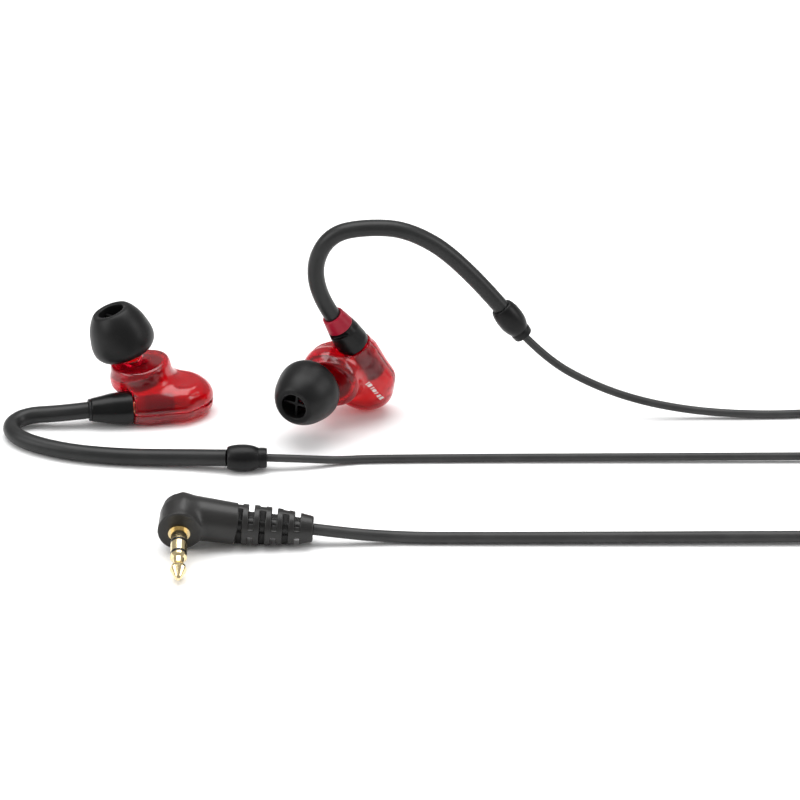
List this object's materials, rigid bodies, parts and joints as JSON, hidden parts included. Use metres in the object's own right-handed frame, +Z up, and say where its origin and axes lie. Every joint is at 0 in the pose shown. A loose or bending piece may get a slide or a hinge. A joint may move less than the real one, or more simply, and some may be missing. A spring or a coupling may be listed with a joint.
{
  "type": "in-ear monitors",
  "caption": "Wired in-ear monitors: translucent earpieces on plug-in swivelling connectors, ear hooks, split cable with chin slider and an angled audio plug.",
  "frame": {"origin": "on the surface that the pair lies on, under the middle of the earpieces and hooks", "axes": "+X from the left earpiece to the right one, +Y away from the plug, +Z up"},
  "size_m": [0.215, 0.0999, 0.0491],
  "materials": {
    "red_housing": "clear tinted gloss",
    "black_silicone": "matte silicone",
    "steel_mesh": "fine woven",
    "driver_frame": "satin",
    "magnet_steel": "plated",
    "clear_film": "thin film",
    "copper_wire": "enamelled",
    "board_green": "solder mask",
    "black_moulding": "satin",
    "plug_moulding": "satin",
    "red_ring": "satin",
    "gold_contact": "polished gold plate",
    "white_insulator": "satin",
    "black_insulator": "satin",
    "socket_black": "satin",
    "hook_sleeve": "matte",
    "cable_jacket": "matte",
    "black_strap": "matte"
  },
  "bodies": {
    "cable_set": {"jack_body": "plug_moulding", "jack_insulators": "black_insulator", "jack_ring": "gold_contact", "jack_sleeve": "gold_contact", "jack_strain_relief": "plug_moulding", "jack_tip": "gold_contact", "left_branch_cable": "cable_jacket", "left_branch_coil": "cable_jacket", "left_coil_tie": "black_strap", "left_connector_cap": "black_moulding", "left_ear_hook": "hook_sleeve", "left_hook_ferrule": "black_moulding", "left_marker_ring": "black_moulding", "left_plug_barrel": "gold_contact", "left_plug_insulator": "white_insulator", "left_plug_pin": "gold_contact", "main_cable": "cable_jacket", "main_coil": "cable_jacket", "main_coil_tie": "black_strap", "right_branch_cable": "cable_jacket", "right_branch_coil": "cable_jacket", "right_coil_tie": "black_strap", "right_connector_cap": "black_moulding", "right_ear_hook": "hook_sleeve", "right_hook_ferrule": "black_moulding", "right_marker_ring": "red_ring", "right_plug_barrel": "gold_contact", "right_plug_insulator": "white_insulator", "right_plug_pin": "gold_contact", "y_splitter": "black_moulding"},
    "left_snap_ring": {"left_snap_ring": "gold_contact"},
    "left_earpiece": {"left_faceplate": "red_housing", "left_inner_shell": "red_housing", "left_nozzle_mesh": "steel_mesh", "left_driver_frame": "driver_frame", "left_driver_magnet": "magnet_steel", "left_driver_terminal": "board_green", "left_signal_wires": "copper_wire", "left_socket_body": "socket_black", "left_socket_contact": "gold_contact"},
    "left_ear_tip": {"left_ear_tip": "black_silicone"},
    "left_diaphragm_unit": {"left_diaphragm": "clear_film", "left_voice_coil": "copper_wire"},
    "right_snap_ring": {"right_snap_ring": "gold_contact"},
    "right_earpiece": {"right_faceplate": "red_housing", "right_inner_shell": "red_housing", "right_nozzle_mesh": "steel_mesh", "right_driver_frame": "driver_frame", "right_driver_magnet": "magnet_steel", "right_driver_terminal": "board_green", "right_signal_wires": "copper_wire", "right_socket_body": "socket_black", "right_socket_contact": "gold_contact"},
    "right_ear_tip": {"right_ear_tip": "black_silicone"},
    "right_diaphragm_unit": {"right_diaphragm": "clear_film", "right_voice_coil": "copper_wire"},
    "chin_slider": {"chin_slider": "black_moulding"}
  },
  "joints": [
    {"name": "left_swivel", "type": "hinge", "parent": "cable_set", "child": "left_snap_ring", "pos_m": [-0.02885, 0.0052, 0.0037], "axis": [0.9893, 0.1461, 0], "range_deg": [-90, 75]},
    {"name": "left_unplug", "type": "slide", "parent": "left_snap_ring", "child": "left_earpiece", "axis": [0.9893, 0.1461, 0], "range_m": [0, 0.008]},
    {"name": "left_tip_pull", "type": "slide", "parent": "left_earpiece", "child": "left_ear_tip", "axis": [-0.3437, 0.0563, 0.9374], "range_m": [0, 0.008]},
    {"name": "left_diaphragm_stroke", "type": "slide", "parent": "left_earpiece", "child": "left_diaphragm_unit", "axis": [-0.3437, 0.0563, 0.9374], "range_m": [-0.00015, 0.00015], "stiffness_N_per_m": 50},
    {"name": "right_swivel", "type": "hinge", "parent": "cable_set", "child": "right_snap_ring", "pos_m": [0.01835, 0.0073, 0.0176], "axis": [-0.4862, -0.1954, 0.8517], "range_deg": [-90, 75]},
    {"name": "right_unplug", "type": "slide", "parent": "right_snap_ring", "child": "right_earpiece", "axis": [0.4862, 0.1954, -0.8517], "range_m": [0, 0.008]},
    {"name": "right_tip_pull", "type": "slide", "parent": "right_earpiece", "child": "right_ear_tip", "axis": [-0.4322, -0.8996, -0.0635], "range_m": [0, 0.008]},
    {"name": "right_diaphragm_stroke", "type": "slide", "parent": "right_earpiece", "child": "right_diaphragm_unit", "axis": [-0.4322, -0.8996, -0.0635], "range_m": [-0.00015, 0.00015], "stiffness_N_per_m": 50},
    {"name": "slider_travel", "type": "slide", "parent": "cable_set", "child": "chin_slider", "axis": [0, 1, 0], "range_m": [0, 0.0115]}
  ]
}
